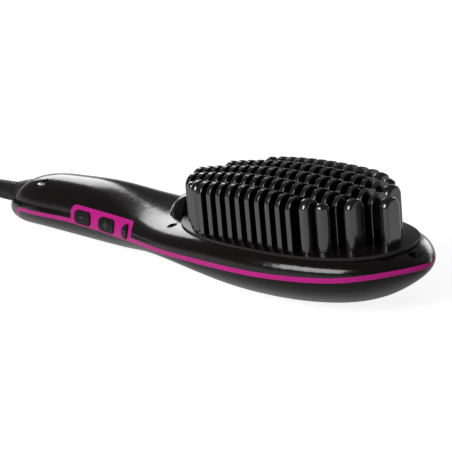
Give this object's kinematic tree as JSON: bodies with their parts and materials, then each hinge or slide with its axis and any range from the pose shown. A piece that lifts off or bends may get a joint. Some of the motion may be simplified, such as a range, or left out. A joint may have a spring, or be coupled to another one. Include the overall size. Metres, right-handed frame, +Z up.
{
  "type": "hair straightener brush",
  "caption": "Paddle-shaped heated straightening brush with rows of upright bristle plates, side keys, a swivel cord outlet and a coiled mains lead.",
  "frame": {"origin": "centre of the brush's footprint on the table it lies on, mains lead left out", "axes": "+X along the brush from the cord end to the nose, +Y away from the side with the keys, +Z up, where the bristles point"},
  "size_m": [0.4225, 0.1189, 0.0531],
  "materials": {
    "gloss_black_shell": "high gloss, moulded",
    "satin_black_shell": "satin, moulded",
    "magenta_trim": "satin-gloss, moulded",
    "bristle_black": "gloss heat-proof plastic",
    "key_black": "matt, raised mark",
    "smoked_window": "polished smoked plastic",
    "swivel_black": "satin",
    "cord_black": "soft matt jacket",
    "tie_black": "woven-look strap",
    "plug_black": "moulded matt",
    "brass": "plain",
    "aluminium_plate": "cast, plain",
    "steel": "plain",
    "ceramic_white": "ceramic",
    "mica_shield": "insulating board",
    "board_green": "lacquered board",
    "component_black": "plain",
    "socket_white": "plain",
    "display_glass": "glass",
    "lead_red": "silicone",
    "tank_clear": "translucent moulded",
    "riser_silicone": "silicone"
  },
  "bodies": {
    "brush": {"bristle_pad": "bristle_black", "bristle_row_1": "bristle_black", "bristle_row_2": "bristle_black", "bristle_row_3": "bristle_black", "bristle_row_4": "bristle_black", "bristle_row_5": "bristle_black", "capacitors": "component_black", "case_screws": "steel", "ceramic_heaters": "ceramic_white", "contact_holder": "socket_white", "controller_chip": "component_black", "cord_coil": "cord_black", "cord_end": "cord_black", "cord_run": "cord_black", "cord_tie": "tie_black", "corner_pins": "bristle_black", "display_board": "board_green", "display_glass": "display_glass", "display_lead": "lead_red", "display_lens": "smoked_window", "heat_shield": "mica_shield", "heater_clamp": "steel", "heater_leads": "lead_red", "heater_plate": "aluminium_plate", "hinge_pin": "steel", "key_board": "board_green", "key_switches": "component_black", "lead_socket": "socket_white", "line_filter": "component_black", "lower_shell": "satin_black_shell", "main_board": "board_green", "plug_body": "plug_black", "plug_prongs": "brass", "relay": "component_black", "slip_contacts": "brass", "steam_chamber": "aluminium_plate", "steam_duct": "aluminium_plate", "steam_riser": "riser_silicone", "supply_leads": "lead_red", "thermal_fuse": "steel", "thermistor": "ceramic_white", "triac": "component_black", "trim_band": "magenta_trim", "upper_shell": "gloss_black_shell", "water_tank": "tank_clear"},
    "key_minus": {"button_minus": "key_black"},
    "key_plus": {"button_plus": "key_black"},
    "key_power": {"button_power": "key_black"},
    "cord_swivel": {"swivel_collar": "swivel_black", "slip_rings": "brass", "cord_boot": "cord_black"},
    "filler": {"filler_door": "satin_black_shell"}
  },
  "joints": [
    {"name": "key_minus_press", "type": "slide", "parent": "brush", "child": "key_minus", "axis": [0.1421, 0.9683, -0.2054], "range_m": [0, 0.0006], "stiffness_N_per_m": 2500},
    {"name": "key_plus_press", "type": "slide", "parent": "brush", "child": "key_plus", "axis": [0.1421, 0.9683, -0.2054], "range_m": [0, 0.0006], "stiffness_N_per_m": 2500},
    {"name": "key_power_press", "type": "slide", "parent": "brush", "child": "key_power", "axis": [0.1421, 0.9683, -0.2054], "range_m": [0, 0.0006], "stiffness_N_per_m": 2500},
    {"name": "cord_swivel_turn", "type": "hinge", "parent": "brush", "child": "cord_swivel", "pos_m": [-0.09989, 0, 0.0145], "axis": [0.9998, 0, 0.018], "continuous": true},
    {"name": "filler_door_hinge", "type": "hinge", "parent": "brush", "child": "filler", "pos_m": [0.07515, 0.0341, 0.0136], "axis": [0.9998, 0, 0.018], "range_deg": [0, 90]}
  ]
}
